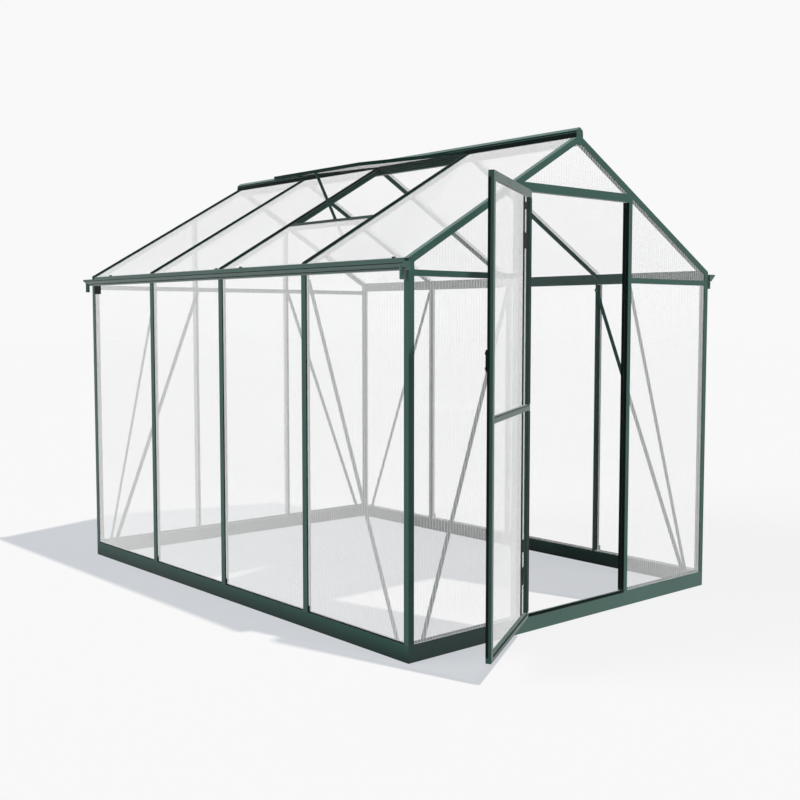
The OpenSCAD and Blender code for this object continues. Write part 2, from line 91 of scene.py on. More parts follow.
# Turned outlines, as shares of the head's radius and height.
WASHER_SHAPE = ((1.25, 0), (1.25, 0.16), (1.18, 0.2))
BOLT_SHAPE = ((1, 0.2), (1, 0.5), (0.88, 0.82), (0.66, 1), (0.46, 1), (0.46, 0.55))
SCREW_SHAPE = ((1, 0), (1, 0.45), (0.8, 0.85), (0.5, 1), (0.3, 1), (0.25, 0.4))
BOLT_STEPS = 20
SCREW_STEPS = 16

EDGE_SEAL_W = 9 * MM        # rubber strip on the door's free edge
EDGE_SEAL_T = 2.5 * MM
EDGE_SEAL_SINK = 0.5 * MM
EDGE_SEAL_UP = 20 * MM      # its distance from the foot and from the top of the leaf
EDGE_SEAL_DOWN = 22 * MM
HINGE_STRIP_W = 20 * MM      # dark strip on the inner face of the hinge stile
HINGE_STRIP_T = 1.5 * MM
HINGE_STRIP_IN = 2 * MM
GUIDE_IN = 36 * MM          # distance of the door's inner guide strip from the hinge stile
GUIDE_W = 22 * MM
GUIDE_T = 2.5 * MM
GUIDE_ENDS = 2 * MM         # how far the guide and the hinge stile's dark strip stop short of the rails
GUIDE_CLIP_T = 4 * MM
GUIDE_CLIP_SINK = 0.5 * MM  # how far the clips reach into the stile and over the strip
GUIDE_CLIP_LAP = 1 * MM
GUIDE_CLIPS = (             # middle height and length of the clips between strip and stile
    (1658 * MM, 26 * MM), (1528 * MM, 60 * MM), (369 * MM, 47 * MM), (252 * MM, 67 * MM))
RAIL_SEAL_H = 3 * MM        # rubber strips along the tops of the middle and the bottom rail
RAIL_SEAL_LOW_H = 9 * MM
STILE_SCREW_IN = 12.5 * MM  # distance of the screws from the sides, foot and top of the leaf
STILE_SCREW_UP = 12 * MM
STILE_SCREW_DOWN = 13 * MM

CLIP_W = 9 * MM             # panel clips along the eaves
CLIP_H = 7 * MM
CLIP_L = 12 * MM
CLIP_IN = 1 * MM            # their distance from the eave's edge, and how deep they sit
CLIP_ROUND = 1.2 * MM
CLIPS_AT = (62 * MM, 457 * MM, 37 * MM, 431 * MM)   # from the front edge of each bay's sheet

RIDGE_SHADE_H = 19 * MM      # painted shade: dark strip between the ridge and the roof sheets, for the shaded channel under the ridge's edge
RIDGE_SHADE_T = 2.5 * MM
RIDGE_SHADE_SINK = 0.3 * MM
RIDGE_SHADE_LEAN = 0.98      # where its top ends, as a share of its outer face's distance
RIDGE_SHADE_DROP = 0.6 * MM  # fall of its top
RIDGE_SHADE_SHOULDER = 0.6   # height of its upright face, as a share of the strip's
RIDGE_SHADE_FOOT = 0.5       # how far its lip hangs down, as a share of its thickness

GROOVE_T = 0.8 * MM         # painted shade: dark strips for the shade in the grooves along the extruded profiles
GROOVE_SINK = 0.2 * MM
RIDGE_GROOVE_H = 4 * MM
RIDGE_GROOVE_DOWN = 2 * MM  # distance below the ridge's side edge
WEB_GROOVES = (0.25, 0.5, 0.75)     # heights of the grooves on the ridge's web, as shares
WEB_GROOVE_H = 3 * MM
GUTTER_GROOVES = (0.26, 0.88)       # heights of the grooves on the gutter's face, as shares
GUTTER_GROOVE_H = 3.5 * MM

SILL_SEAL_UP = 7 * MM       # rubber strip along the threshold, above and below the rail's top
SILL_SEAL_DOWN = 5 * MM
SILL_SEAL_T = 1.5 * MM
SILL_LIP_OUT = 0.5 * MM     # its lip over the top of the base rail
SILL_LIP_IN = 6 * MM
SILL_LIP_T = 2 * MM
JAMB_SEAL_T = 1.5 * MM      # rubber strips on the inner side of the right jamb
JAMB_SEAL_UP = 8 * MM       # their distance above the base rail
JAMB_SEALS = ((0.03, 0.49), (0.55, 0.98))   # their sides, as shares of the jamb's depth

LIP_H = 11 * MM             # upright lip of the gables' base rails inside the sheets
LIP_T = 1.5 * MM
LIP_REACH = 5 * MM          # sheets that start higher than this above the rail have no lip
SEAL_T = 1.8 * MM           # rubber strips outside the side walls, and the painted shade strip beside each post
SEAL_GAP = 0.3 * MM         # their distance from the posts
FOOT_SEAL_H = 6 * MM
# painted shade: dark strip along one side of each side post
POST_SHADE_W = 4 * MM
FOOT_CLIP_W = 13 * MM
FOOT_CLIP_H = 29 * MM
FOOT_CLIP_T = 2.52 * MM
STRIP_W = 26 * MM           # inner strips that hold the wall sheets on the side posts
STRIP_T = 2 * MM
STRIP_ENDS = 2 * MM
BLOCK_W = 66 * MM           # the dark block under the rear end of the left gutter
BLOCK_H = 43 * MM
BLOCK_T = 6 * MM
BLOCK_ROUND = 2 * MM

# ---------- Settings of the materials ----------
COAT = {"rough": (0.28, 0.40), "grain": 900, "depth": 0.04 * MM}    # powder coat
BASE_PAINTED_SHADE = (0.30, 0.95)    # painted shade: share of the base rails' colour at the ground and at their top
BUMP_STRENGTH = 0.6
MOTTLE_SCALE = 3.5          # scale of the noise in a coat's colour and in its gloss
GLOSS_SCALE = 14.0
SHEET_SHADE = 0.72          # share of lamp light that each face of a sheet holds back
SHEET_IOR = 1.58
SHEET_ROUGH = (0.09, 0.15)
SHEET_GLOSS_SCALE = 9.0     # scale of the noise in a sheet's gloss and in its tone
CLOUD_SCALE = 1.6
CLOUD_STRETCH = (1, 1, 0.35)
SLANT_POWER = 2.0           # how late a sheet closes up as the view gets more slanted
SHEET_DARK = (0.983, 0.985, 0.987)
SHEET_LIGHT = (0.993, 0.995, 0.996)
GABLE_SHARES = (0.05, 0.17)     # milky share of the front gable's sheets, as in sheet_material

# ---------- Lights and view ----------
SUN_WAY = Vector((-0.14, 0.53, -1.0))
SUN_STRENGTH = 4.1
SUN_SPREAD = 1.5            # in degrees
SUN_COLOUR = (1.0, 0.975, 0.94)
FILL_WAY = Vector((0.8, -0.4, -0.3))
FILL_STRENGTH = 1.8
FILL_SPREAD = 50
FILL_COLOUR = (1.0, 1.0, 1.0)
SKY_LIGHT = (0.10, 0.13, 0.18)
SKY_SEEN = (0.945, 0.945, 0.948)
SKY_MIRRORED = (1.0, 1.0, 1.0)
FLOOR_SIZE = 60
FLOOR_DOWN = 0.5 * MM
FLOOR_COLOUR = (0.685, 0.655, 0.62)
FLOOR_BOUNCE = (0.42, 0.42, 0.42)   # the floor's colour to soft bounced light
FLOOR_SEEN = (0.915, 0.945, 0.99)
FLOOR_MIRRORED = (0.965, 0.965, 0.965)
FLOOR_LIFT = 0.57           # share of FLOOR_SEEN, which takes no shadow, in the floor as seen
FLOOR_MIRROR_LIFT = 1.0     # the same in reflections
LENS_MM = 50
SENSOR_MM = 36
CAMERA_AT = (-3.4919, -2.9465, 1.2327)
CAMERA_DOWN = 4.1435        # in degrees
CAMERA_TURN = -40.904
CLEAR_BOUNCES = 64          # how many see-through faces a ray may pass


# ---------- Reading the CAD ----------

def points_of(node):
    """Every corner of a CAD node."""
    return [v.co.copy() for v in frame["nodes"][node].data.vertices]


def merged(node):
    """A copy of a CAD node's mesh with its split corners joined."""
    bm = bmesh.new()
    bm.from_mesh(frame["nodes"][node].data)
    bmesh.ops.remove_doubles(bm, verts=bm.verts, dist=JOIN_DIST)
    return bm


def linked_groups(bm):
    """The corners of each separate solid or outline in a mesh."""
    left, groups = dict.fromkeys(bm.verts), []
    while left:
        group, edge = [], [left.popitem()[0]]
        while edge:
            v = edge.pop()
            group.append(v.co.copy())
            for e in v.link_edges:
                other = e.other_vert(v)
                if other in left:
                    del left[other]
                    edge.append(other)
        groups.append(group)
    return groups


def solids_of(node):
    """The corner points of each solid of a CAD node."""
    bm = merged(node)
    groups = linked_groups(bm)
    bm.free()
    return groups


def extent(points, inverse=Matrix.Identity(4)):
    """Lowest and highest corner of some points, in the frame that inverse leads to."""
    local = [inverse @ p for p in points]
    low = Vector([min(p[i] for p in local) for i in range(3)])
    high = Vector([max(p[i] for p in local) for i in range(3)])
    return low, high


def extents_of(node, axis):
    """The extents of a CAD node's solids, sorted along an axis."""
    return sorted((extent(solid) for solid in solids_of(node)), key=lambda box: box[0][axis])


def roof_line():
    """Lower and upper end of the left roof line, on the top of the front rafter."""
    points = points_of("rafter_front_left")
    x0 = min(p.x for p in points)
    x1 = max(p.x for p in points)
    low = max((p for p in points if p.x < x0 + MM), key=lambda p: p.z)
    high = max((p for p in points if p.x > x1 - MM), key=lambda p: p.z)
    return Vector((low.x, 0, low.z)), Vector((high.x, 0, high.z))


def door_frame_matrix():
    """The leaf's own frame: hinge pin at the origin, +X along the leaf, +Y to its inner side."""
    pin = Vector(frame["joints"][0]["pos_m"])
    sheets = frame["nodes"]["door_sheets"].data
    face = max(sheets.polygons, key=lambda p: p.area).normal
    x = Vector((face.y, -face.x, 0)).normalized()
    if x.dot(sheets.vertices[0].co - pin) < 0:
        x.negate()
    y = Vector((-x.y, x.x, 0))
    return Matrix((
        (x.x, y.x, 0, pin.x), (x.y, y.y, 0, pin.y), (0, 0, 1, 0), (0, 0, 0, 1)))


class DoorLeaf:
    """The door leaf's own frame, and in it the places of the leaf, its sheets and its rail."""

    def __init__(self):
        self.place = door_frame_matrix()
        to_door = self.place.inverted()
        self.sheet_low, self.sheet_high = extent(points_of("door_sheets"), to_door)
        corners = [to_door @ p for p in points_of("door_frame")]
        self.low, self.high = extent([
            p for p in corners
            if p.x > self.sheet_high.x or p.z > self.sheet_high.z or p.z < self.sheet_low.z])
        # At its top the leaf's side is bare, so this leaves the hinges out.
        self.low.x = min(p.x for p in corners if p.z > self.high.z - MM)
        lower, upper = extents_of("door_sheets", 2)
        self.rail_low, self.rail_high = lower[1].z, upper[0].z


# ---------- Building meshes ----------

def piece(name, bm, body, material):
    """Makes a mesh into a piece of the object, riding on a body."""
    bmesh.ops.recalc_face_normals(bm, faces=bm.faces)
    mesh = bpy.data.meshes.new(name)
    bm.to_mesh(mesh)
    bm.free()
    mesh.materials.append(material)
    obj = bpy.data.objects.new(name, mesh)
    bpy.context.scene.collection.objects.link(obj)
    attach(obj, body)


def add_prism(bm, outline, offset):
    """A closed prism from a flat outline, extruded by an offset."""
    low = [bm.verts.new(p) for p in outline]
    high = [bm.verts.new(p + offset) for p in outline]
    count = len(outline)
    bm.faces.new(low)
    bm.faces.new(list(reversed(high)))
    for i in range(count):
        j = (i + 1) % count
        bm.faces.new((low[i], high[i], high[j], low[j]))


def add_block(bm, low, high, place=Matrix.Identity(4), round_by=EDGE_ROUND):
    """A block with softened edges between two corners, in the frame of place."""
    size = high - low
    made = bmesh.ops.create_cube(bm, size=1)["verts"]
    for v in made:
        v.co = Vector([low[i] + (v.co[i] + 0.5) * size[i] for i in range(3)])
    edges = list(dict.fromkeys(e for v in made for e in v.link_edges))
    bevelled = bmesh.ops.bevel(
        bm, geom=edges, offset=min(round_by, ROUND_SHARE * min(size)), segments=2, profile=0.5,
        affect="EDGES")
    touched = {v for f in bevelled["faces"] for v in f.verts}
    for v in touched:
        v.co = place @ v.co


def add_pair(bm, low, high, round_by=EDGE_ROUND):
    """A block and its mirror image on the other side of the house."""
    add_block(bm, low, high, round_by=round_by)
    add_block(bm, Vector((-high.x, low.y, low.z)), Vector((-low.x, high.y, high.z)),
              round_by=round_by)


def add_turned(bm, shape, radius, height, place, steps):
    """A turned form round the z axis of place, from shares of a radius and a height."""
    rings = []
    for across, up in shape:
        ring = []
        for k in range(steps):
            angle = 2 * math.pi * k / steps
            ring.append(bm.verts.new(place @ Vector((
                across * radius * math.cos(angle), across * radius * math.sin(angle),
                up * height))))
        rings.append(ring)
    for a, b in zip(rings, rings[1:]):
        for k in range(steps):
            n = (k + 1) % steps
            bm.faces.new((a[k], a[n], b[n], b[k]))
    bm.faces.new(list(reversed(rings[0])))
    bm.faces.new(rings[-1])


def facing(point, normal):
    """A frame at a point whose z axis is a surface's outward normal."""
    turn = normal.to_track_quat("Z", "Y").to_matrix().to_4x4()
    return Matrix.Translation(point) @ turn


def add_bolt(bm, point, normal):
    """A domed bolt head with a round recess, on a washer."""
    place = facing(point, normal)
    add_turned(bm, WASHER_SHAPE, BOLT_D / 2, BOLT_H, place, BOLT_STEPS)
    add_turned(bm, BOLT_SHAPE, BOLT_D / 2, BOLT_H, place, BOLT_STEPS)


def add_screw(bm, point, normal):
    """A small pan-head screw with a round recess."""
    add_turned(bm, SCREW_SHAPE, SCREW_D / 2, SCREW_H, facing(point, normal), SCREW_STEPS)


# ---------- Materials ----------

def new_material(name):
    """An empty material with its nodes and links."""
    mat = bpy.data.materials.new(name)
    mat.use_nodes = True
    mat.node_tree.nodes.clear()
    return mat, mat.node_tree.nodes, mat.node_tree.links


def noise(nodes, links, scale, detail=3.0, stretch=(1, 1, 1)):
    """Noise in the object's own coordinates."""
    place = nodes.new("ShaderNodeTexCoord")
    mapping = nodes.new("ShaderNodeMapping")
    mapping.inputs["Scale"].default_value = stretch
    links.new(place.outputs["Object"], mapping.inputs["Vector"])
    node = nodes.new("ShaderNodeTexNoise")
    node.inputs["Scale"].default_value = scale
    node.inputs["Detail"].default_value = detail
    links.new(mapping.outputs["Vector"], node.inputs["Vector"])
    return node.outputs["Fac"]


def ramp(nodes, links, source, low, high, start=0.3, end=0.7):
    """Maps a noise value to a colour between low and high."""
    node = nodes.new("ShaderNodeValToRGB")
    for element, position, colour in zip(node.color_ramp.elements, (start, end), (low, high)):
        element.position = position
        element.color = (*colour, 1)
    links.new(source, node.inputs["Fac"])
    return node.outputs["Color"]


def spread(nodes, links, source, low, high, start=0.0, end=1.0):
    """Maps a value from start..end to low..high."""
    node = nodes.new("ShaderNodeMapRange")
    node.inputs["From Min"].default_value = start
    node.inputs["From Max"].default_value = end
    node.inputs["To Min"].default_value = low
    node.inputs["To Max"].default_value = high
    links.new(source, node.inputs["Value"])
    return node.outputs["Result"]


def bump(nodes, links, source, depth):
    """A fine bump from a noise value."""
    node = nodes.new("ShaderNodeBump")
    node.inputs["Strength"].default_value = BUMP_STRENGTH
    node.inputs["Distance"].default_value = depth
    links.new(source, node.inputs["Height"])
    return node.outputs["Normal"]


def maths(nodes, links, operation, *values):
    """A maths node; each value is a number or another node's output."""
    node = nodes.new("ShaderNodeMath")
    node.operation = operation
    for socket, value in zip(node.inputs, values):
        if isinstance(value, float):
            socket.default_value = value
        else:
            links.new(value, socket)
    return node.outputs[0]


def mixed(nodes, links, share, first, second):
    """A shader that goes from the first to the second with a share."""
    node = nodes.new("ShaderNodeMixShader")
    for socket, value in zip(node.inputs, (share, first, second)):
        links.new(value, socket)
    return node.outputs["Shader"]


def coloured(nodes, kind, colour):
    """A shader of one kind and one colour."""
    node = nodes.new(kind)
    node.inputs["Color"].default_value = (*colour, 1)
    return node.outputs[0]


def height_of(nodes, links):
    """Height above the ground on the object."""
    place = nodes.new("ShaderNodeTexCoord")
    split = nodes.new("ShaderNodeSeparateXYZ")
    links.new(place.outputs["Object"], split.inputs["Vector"])
    return split.outputs["Z"]


def painted_ground_shade(nodes, links, colour, shares):
    """Painted shade: a colour that darkens towards the ground over the height of the base rails.
    """
    low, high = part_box("base_left")
    share = spread(nodes, links, height_of(nodes, links), *shares, low.z, high.z)
    node = nodes.new("ShaderNodeVectorMath")
    node.operation = "SCALE"
    links.new(colour, node.inputs[0])
    links.new(share, node.inputs["Scale"])
    return node.outputs["Vector"]


def solid_material(name, dark, light, rough, grain, depth, ior, ground_shade_shares=None):
    """A closed surface: mottled colour, uneven gloss and a fine bump."""
    mat, nodes, links = new_material(name)
    out = nodes.new("ShaderNodeOutputMaterial")
    shader = nodes.new("ShaderNodeBsdfPrincipled")
    shader.inputs["IOR"].default_value = ior
    colour = ramp(nodes, links, noise(nodes, links, MOTTLE_SCALE), dark, light)
    # painted shade, darker towards the ground
    if ground_shade_shares:
        colour = painted_ground_shade(nodes, links, colour, ground_shade_shares)
    links.new(colour, shader.inputs["Base Color"])
    links.new(spread(nodes, links, noise(nodes, links, GLOSS_SCALE), *rough),
              shader.inputs["Roughness"])
    links.new(bump(nodes, links, noise(nodes, links, grain, 2.0), depth),
              shader.inputs["Normal"])
    links.new(shader.outputs["BSDF"], out.inputs["Surface"])
    return mat


def above_eaves(nodes, links, wall, gable):
    """Takes one value on the walls and another in the gable, above the eave rails."""
    eave_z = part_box("rails_front")[0].z
    mix = nodes.new("ShaderNodeMix")
    links.new(maths(nodes, links, "GREATER_THAN", height_of(nodes, links), eave_z),
              mix.inputs["Factor"])
    links.new(wall, mix.inputs["A"])
    links.new(gable, mix.inputs["B"])
    return mix.outputs["Result"]


def milky_share(nodes, links, shares, gable):
    """Share of a sheet that isn't see-through: more at a slant, and a set share for lamps."""
    slant = nodes.new("ShaderNodeLayerWeight")
    slant.inputs["Blend"].default_value = 0.5
    power = maths(nodes, links, "POWER", slant.outputs["Facing"], SLANT_POWER)
    share = spread(nodes, links, power, *shares)
    if gable:
        share = above_eaves(nodes, links, share, spread(nodes, links, power, *gable))
    path = nodes.new("ShaderNodeLightPath")
    unseen = maths(nodes, links, "MAXIMUM",
                   path.outputs["Is Shadow Ray"], path.outputs["Is Diffuse Ray"])
    return maths(nodes, links, "MAXIMUM", share,
                 maths(nodes, links, "MULTIPLY", unseen, SHEET_SHADE))


def sheet_material(name, straight, slanted, tone=1.0, gable=None):
    """Twin-wall polycarbonate: a mix of see-through and a pale, softly mirroring surface.

    The surface's share is given for a straight and for a grazing view, and once more for the
    gable where that differs; tone darkens the surface.
    """
    mat, nodes, links = new_material(name)
    out = nodes.new("ShaderNodeOutputMaterial")
    shader = nodes.new("ShaderNodeBsdfPrincipled")
    shader.inputs["IOR"].default_value = SHEET_IOR
    shader.inputs["Metallic"].default_value = 1.0
    cloud = noise(nodes, links, CLOUD_SCALE, 2.0, CLOUD_STRETCH)
    dark = [tone * c for c in SHEET_DARK]
    light = [tone * c for c in SHEET_LIGHT]
    links.new(ramp(nodes, links, cloud, dark, light), shader.inputs["Base Color"])
    links.new(spread(nodes, links, noise(nodes, links, SHEET_GLOSS_SCALE), *SHEET_ROUGH),
              shader.inputs["Roughness"])
    clear = nodes.new("ShaderNodeBsdfTransparent")
    share = milky_share(nodes, links, (straight, slanted), gable)
    links.new(mixed(nodes, links, share, clear.outputs["BSDF"], shader.outputs["BSDF"]),
              out.inputs["Surface"])
    return mat


def dress(obj, material):
    """Gives a CAD node a material."""
    if not obj.material_slots:
        obj.data.materials.append(material)
    for slot in obj.material_slots:
        slot.material = material


# ---------- Ribs inside the sheets ----------

def section(bm, point, normal):
    """The outlines that a plane cuts from a mesh, each in order round its middle."""
    cut = bm.copy()
    bmesh.ops.bisect_plane(
        cut, geom=list(cut.verts) + list(cut.edges) + list(cut.faces), dist=CUT_DIST,
        plane_co=point, plane_no=normal, clear_inner=True, clear_outer=True)
    outlines = []
    for group in linked_groups(cut):
        if len(group) < 4:
            continue
        middle = sum(group, Vector()) / len(group)
        first = (group[0] - middle).normalized()
        second = normal.cross(first)
        group.sort(key=lambda p: math.atan2((p - middle).dot(second), (p - middle).dot(first)))
        outlines.append(group)
    cut.free()
    return outlines


def flutes(name, node, across, body, material):
    """The ribs between the two walls of a node's sheets, square to a direction."""
    source = merged(node)
    reach = [v.co.dot(across) for v in source.verts]
    low, high = min(reach), max(reach)
    count = int((high - low) / FLUTE_PITCH)
    ribs = bmesh.new()
    for k in range(count):
        at = low + (k + 0.5) * (high - low) / count
        for outline in section(source, across * at, across):
            middle = sum(outline, Vector()) / len(outline)
            inner = [p + (middle - p).normalized() * FLUTE_SHRINK for p in outline]
            start = [p - across * FLUTE_T / 2 for p in inner]
            add_prism(ribs, start, across * FLUTE_T)
    source.free()
    piece(name, ribs, body, material)


# ---------- Details of the house ----------

def roof_caps(name, side, material):
    """Rubber strips over the roof bars of one slope; side is -1 for the left, 1 for the right."""
    low, high = roof_line()
    slope = (high - low).normalized()
    up = Vector((-slope.z, 0, slope.x))
    bars = [extent(bar) for bar in solids_of("roof_bars_left")] + [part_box("rafter_rear_left")]
    bm = bmesh.new()
    for bar_low, bar_high in bars:
        y = (bar_low.y + bar_high.y) / 2
        start = low + slope * (bar_low.x - low.x) / slope.x
        run = (high - start).length - CAP_STOP
        outline = [start + up * rise * CAP_H + Vector((0, y + across * CAP_W, 0))
                   for across, rise in CAP_SHAPE]
        base = [Vector((-side * p.x, p.y, p.z)) for p in outline]
        add_prism(bm, base, Vector((-side * slope.x, 0, slope.z)) * run)
    piece(name, bm, "house", material)


def brace_bolts(material):
    """A bolt near each end of every brace, on its inner face."""
    inward = {
        "braces_left": Vector((1, 0, 0)), "braces_right": Vector((-1, 0, 0)),
        "braces_front": Vector((0, 1, 0)), "braces_rear": Vector((0, -1, 0))}
    bm = bmesh.new()
    for node, normal in inward.items():
        for bar in solids_of(node):
            ranked = sorted(bar, key=lambda p: p.z)
            foot = sum(ranked[:4], Vector()) / 4
            head = sum(ranked[-4:], Vector()) / 4
            along = (head - foot).normalized()
            depth = max(p.dot(normal) for p in bar)
            for point in (foot + along * BOLT_IN, head - along * BOLT_IN):
                add_bolt(bm, point + normal * (depth - point.dot(normal)), normal)
    piece("brace_bolts", bm, "house", material)


def inner_strips(material):
    """Flat strips that hold the wall sheets against the side posts from inside."""
    inner_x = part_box("sheets_left")[1].x
    bm = bmesh.new()
    for low, high in extents_of("posts_left", 1):
        y = (low.y + high.y) / 2
        add_pair(bm, Vector((inner_x - SINK, y - STRIP_W / 2, low.z + STRIP_ENDS)),
                 Vector((inner_x + STRIP_T, y + STRIP_W / 2, high.z - STRIP_ENDS)))
    piece("inner_strips", bm, "house", material)


def foot_lips(material):
    """Upright lips of the gables' base rails, against the inner faces of the sheets."""
    base_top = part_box("base_front")[1].z
    bm = bmesh.new()
    for node, inward in (("sheets_front", 1), ("sheets_rear", -1)):
        for low, high in extents_of(node, 0):
            if low.z > base_top + LIP_REACH:
                continue
            near = high.y if inward > 0 else low.y
            y0, y1 = sorted((near, near + inward * LIP_T))
            add_block(bm, Vector((low.x + END_GAP, y0, base_top - SINK)),
                      Vector((high.x - END_GAP, y1, base_top + LIP_H)), round_by=THIN_ROUND)
    piece("foot_lips", bm, "house", material)


def wall_seals_and_post_shade(material):
    """Rubber outside the side walls along the foot, and foot clips; the dark strip at one side of
    each post is painted shade along the post's edge.
    """
    face_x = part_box("sheets_left")[0].x
    base_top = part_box("base_left")[1].z
    posts = extents_of("posts_left", 1)
    post_top = posts[0][1].z
    starts = [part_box("corner_front_left")[1].y] + [high.y for low, high in posts]
    ends = [low.y for low, high in posts] + [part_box("corner_rear_left")[0].y]
    bm = bmesh.new()
    for bay, (start, end) in enumerate(zip(starts, ends)):
        start, end = start + SEAL_GAP, end - SEAL_GAP
        strips = [(start, base_top + FOOT_SEAL_H, SEAL_T)]
        if bay < len(posts):
            # painted shade along the post's edge
            strips.append((end - POST_SHADE_W, post_top, SEAL_T))
            strips.append((end - FOOT_CLIP_W, base_top + FOOT_CLIP_H, FOOT_CLIP_T))
        for y, top, thickness in strips:
            add_pair(bm, Vector((face_x - thickness, y, base_top)),
                     Vector((face_x + SINK, end, top)), THIN_ROUND)
    piece("wall_seals_and_post_shade", bm, "house", material)


def eave_clips(material):
    """Small clips that hold the lower edges of the roof sheets."""
    low = roof_line()[0]
    x = low.x + CLIP_IN
    bm = bmesh.new()
    for sheet, inset in zip(extents_of("roof_sheets_left", 1), CLIPS_AT):
        y = sheet[0].y + inset
        add_pair(bm, Vector((x, y - CLIP_W / 2, low.z - CLIP_IN)),
                 Vector((x + CLIP_L, y + CLIP_W / 2, low.z + CLIP_H)), CLIP_ROUND)
    piece("eave_clips", bm, "house", material)


def ridge_channel_shade(material):
    """Painted shade: dark strips along the lower edges of the ridge, where the roof sheets meet
    it, for the shaded channel there.
    """
    low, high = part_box("ridge_beam")
    roof_low, roof_high = roof_line()
    rise = (roof_high.z - roof_low.z) / (roof_high.x - roof_low.x)
    foot_z = roof_low.z + (-roof_low.x - high.x) * rise
    x0, x1 = high.x - RIDGE_SHADE_SINK, high.x + RIDGE_SHADE_T
    outline = [
        (x0, foot_z + RIDGE_SHADE_H),
        (x1 * RIDGE_SHADE_LEAN, foot_z + RIDGE_SHADE_H - RIDGE_SHADE_DROP),
        (x1, foot_z + RIDGE_SHADE_H * RIDGE_SHADE_SHOULDER),
        (x1, foot_z - RIDGE_SHADE_T * RIDGE_SHADE_FOOT), (x0, foot_z)]
    bm = bmesh.new()
    for side in (-1, 1):
        base = [Vector((side * x, low.y + END_GAP, z)) for x, z in outline]
        add_prism(bm, base, Vector((0, high.y - low.y - 2 * END_GAP, 0)))
    piece("ridge_channel_shade", bm, "house", material)


def threshold_seal(material):
    """Rubber strip along the base rail in the doorway, with a lip over the rail."""
    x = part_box("jamb_right")[0].x - END_GAP
    base_low, base_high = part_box("base_front")
    y, top = base_low.y + SINK, base_high.z
    bm = bmesh.new()
    add_block(bm, Vector((-x, y - SILL_SEAL_T, top - SILL_SEAL_DOWN)),
              Vector((x, y, top + SILL_SEAL_UP)))
    add_block(bm, Vector((-x, y - SILL_LIP_OUT, top - SINK)),
              Vector((x, y + SILL_LIP_IN, top + SILL_LIP_T)))
    piece("threshold_seal", bm, "house", material)


def dark_wall_block(material):
    """A dark block on the wall under the rear end of the left gutter."""
    sheet_low, sheet_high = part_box("sheets_left")
    post_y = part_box("corner_rear_left")[0].y
    bm = bmesh.new()
    add_block(bm, Vector((sheet_low.x - BLOCK_T, post_y - BLOCK_W, sheet_high.z - BLOCK_H)),
              Vector((sheet_low.x + SINK, post_y - END_GAP, sheet_high.z)),
              round_by=BLOCK_ROUND)
    piece("dark_wall_block", bm, "house", material)


def ridge_groove_shade(material):
    """Painted shade: dark strips for the shaded grooves along the ridge, under its side edges and
    on both sides of its web.
    """
    low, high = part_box("ridge_beam")
    points = points_of("ridge_beam")
    side_top = max(p.z for p in points if p.x > high.x - MM)
    web_x = max(p.x for p in points if p.z < low.z + MM)
    web_top = min(p.z for p in points if abs(p.x - web_x) < MM and p.z > low.z + MM)
    bands = [(high.x, side_top - RIDGE_GROOVE_DOWN, RIDGE_GROOVE_H)]
    bands += [(web_x, low.z + share * (web_top - low.z), WEB_GROOVE_H) for share in WEB_GROOVES]
    bm = bmesh.new()
    for x, top, height in bands:
        add_pair(bm, Vector((x - GROOVE_SINK, low.y + END_GAP, top - height)),
                 Vector((x + GROOVE_T, high.y - END_GAP, top)), GROOVE_ROUND)
    piece("ridge_groove_shade", bm, "house", material)


def gutter_groove_shade(material):
    """Painted shade: dark strips for the shaded grooves along the outer face of each gutter."""
    low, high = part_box("gutter_left")
    points = [p for p in points_of("gutter_left") if p.y < low.y + MM]
    foot_z = min(p.z for p in points)
    foot = Vector((min(p.x for p in points if p.z < foot_z + MM), 0, foot_z))
    lip = Vector((low.x, 0, min(p.z for p in points if p.x < low.x + MM)))
    up = (lip - foot).normalized() * GUTTER_GROOVE_H
    out = Vector((-up.z, 0, up.x)).normalized()
    bm = bmesh.new()
    for side in (-1, 1):
        for share in GUTTER_GROOVES:
            inner = foot + (lip - foot) * share - out * GROOVE_SINK
            outer = inner + out * (GROOVE_SINK + GROOVE_T)
            base = [Vector((-side * p.x, low.y + END_GAP, p.z))
                    for p in (inner, inner + up, outer + up, outer)]
            add_prism(bm, base, Vector((0, high.y - low.y - 2 * END_GAP, 0)))
    piece("gutter_groove_shade", bm, "house", material)


def jamb_seals(material):
    """Rubber strips on the inner side of the right jamb."""
    low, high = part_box("jamb_right")
    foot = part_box("base_front")[1].z + JAMB_SEAL_UP
    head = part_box("door_head")[0].z - END_GAP
    bm = bmesh.new()
    for start, end in JAMB_SEALS:
        depth = high.y - low.y
        add_block(bm, Vector((low.x - JAMB_SEAL_T, low.y + start * depth, foot)),
                  Vector((low.x + SINK, low.y + end * depth, head)))
    piece("jamb_seals", bm, "house", material)


# ---------- Details of the door ----------

def door_edge_seal(door, material):
    """The rubber strip on the outer side of the free edge."""
    low, high = door.low, door.high
    bm = bmesh.new()
    add_block(bm, Vector((high.x - EDGE_SEAL_SINK, low.y, low.z + EDGE_SEAL_UP)),
              Vector((high.x + EDGE_SEAL_T, low.y + EDGE_SEAL_W, high.z - EDGE_SEAL_DOWN)),
              door.place)
    piece("door_edge_seal", bm, "door", material)


